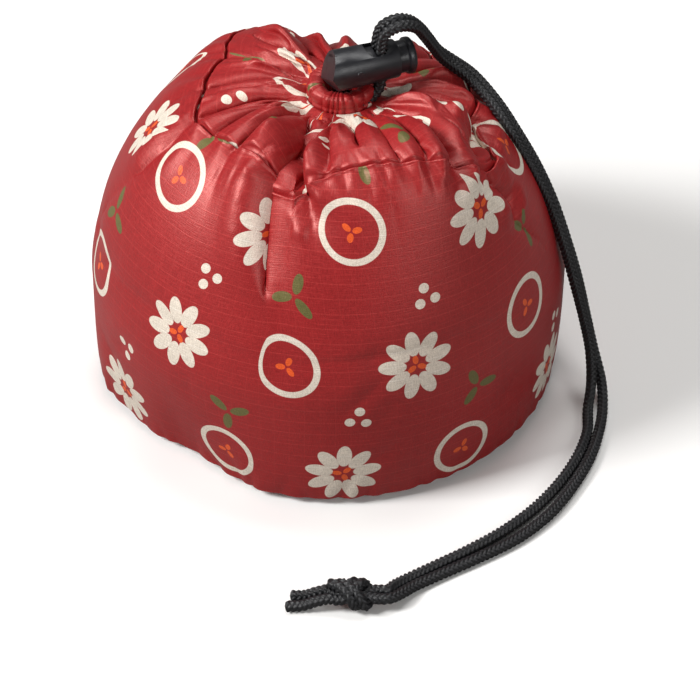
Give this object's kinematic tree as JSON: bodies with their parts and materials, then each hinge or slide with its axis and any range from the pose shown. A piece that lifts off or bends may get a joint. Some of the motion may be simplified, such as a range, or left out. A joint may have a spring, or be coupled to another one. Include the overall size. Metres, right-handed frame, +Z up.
{
  "type": "drawstring bag",
  "caption": "Round cloth drawstring bag, filled and pulled shut, with a spring cord lock on its gathers and a braided cord knotted on the floor.",
  "frame": {"origin": "middle of the flat base, on the surface that the bag stands on", "axes": "+Z up, -Y toward the front panel and the knot, +X toward the side that the cord comes down"},
  "size_m": [0.1684, 0.1988, 0.135],
  "materials": {
    "printed_cloth": "printed ripstop nylon, slight sheen",
    "cord": "braided polyester",
    "lock_plastic": "moulded, satin",
    "spring_steel": "drawn wire"
  },
  "bodies": {
    "bag": {"base_panel": "printed_cloth", "wall_panel": "printed_cloth", "top_yoke": "printed_cloth", "drawstring_casing": "printed_cloth", "casing_cord": "cord", "cord_loop_front": "cord", "cord_loop_rear": "cord", "cord_strand_front": "cord", "cord_strand_rear": "cord", "cord_knot": "cord", "cord_tail_front": "cord", "cord_tail_rear": "cord", "lock_housing": "lock_plastic", "lock_spring": "spring_steel"},
    "plunger": {"lock_plunger": "lock_plastic"}
  },
  "joints": [
    {"name": "plunger_press", "type": "slide", "parent": "bag", "child": "plunger", "axis": [-0.9361, -0.3518, 0], "range_m": [0, 0.003], "stiffness_N_per_m": 600, "springref_m": -0.002, "deforming": ["lock_spring"]}
  ]
}
